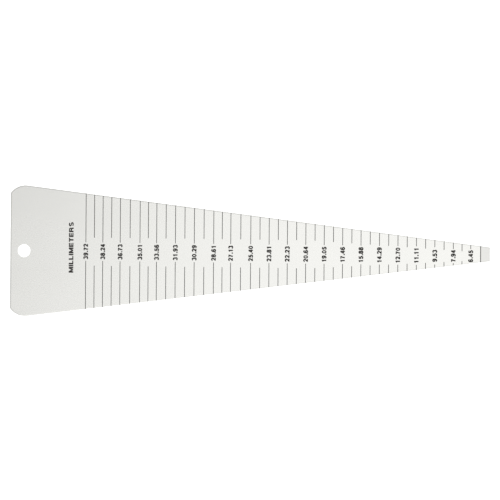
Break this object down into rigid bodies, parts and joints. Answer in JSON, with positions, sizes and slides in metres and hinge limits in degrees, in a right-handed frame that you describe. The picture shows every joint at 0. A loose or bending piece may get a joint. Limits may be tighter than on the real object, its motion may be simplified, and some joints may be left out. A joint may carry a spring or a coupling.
{
  "type": "ring sizer stick",
  "caption": "Flat tapered steel blade, marked with its own width in millimetres along its length, for gauging ring bores, with a hanging hole at the wide end",
  "frame": {"origin": "middle of the underside of the blade's box, so the blade lies on Z = 0 with its numbered face up at Z = 1 mm", "axes": "+X along the blade towards its narrow tip, +Y across it to the right of the numbers as they are read, +Z out of the numbered face"},
  "size_m": [0.166, 0.045, 0.001],
  "materials": {
    "blade_steel": "fine satin stainless steel",
    "scale_enamel": "matt black enamel filled into etched marks"
  },
  "bodies": {
    "root": {"gauge_blade": "blade_steel", "line_39_72_left": "scale_enamel", "line_39_72_right": "scale_enamel", "line_38_24_left": "scale_enamel", "line_38_24_right": "scale_enamel", "line_36_73_left": "scale_enamel", "line_36_73_right": "scale_enamel", "line_35_01_left": "scale_enamel", "line_35_01_right": "scale_enamel", "line_33_56_left": "scale_enamel", "line_33_56_right": "scale_enamel", "line_31_93_left": "scale_enamel", "line_31_93_right": "scale_enamel", "line_30_29_left": "scale_enamel", "line_30_29_right": "scale_enamel", "line_28_61_left": "scale_enamel", "line_28_61_right": "scale_enamel", "line_27_13_left": "scale_enamel", "line_27_13_right": "scale_enamel", "line_25_40_left": "scale_enamel", "line_25_40_right": "scale_enamel", "line_23_81_left": "scale_enamel", "line_23_81_right": "scale_enamel", "line_22_23_left": "scale_enamel", "line_22_23_right": "scale_enamel", "line_20_64_left": "scale_enamel", "line_20_64_right": "scale_enamel", "line_19_05_left": "scale_enamel", "line_19_05_right": "scale_enamel", "line_17_46_left": "scale_enamel", "line_17_46_right": "scale_enamel", "line_15_88_left": "scale_enamel", "line_15_88_right": "scale_enamel", "line_14_29_left": "scale_enamel", "line_14_29_right": "scale_enamel", "line_12_70_left": "scale_enamel", "line_12_70_right": "scale_enamel", "line_11_11_left": "scale_enamel", "line_11_11_right": "scale_enamel", "line_9_53_left": "scale_enamel", "line_9_53_right": "scale_enamel", "line_7_94_left": "scale_enamel", "line_7_94_right": "scale_enamel", "line_6_45_right": "scale_enamel", "end_line": "scale_enamel"}
  },
  "joints": []
}
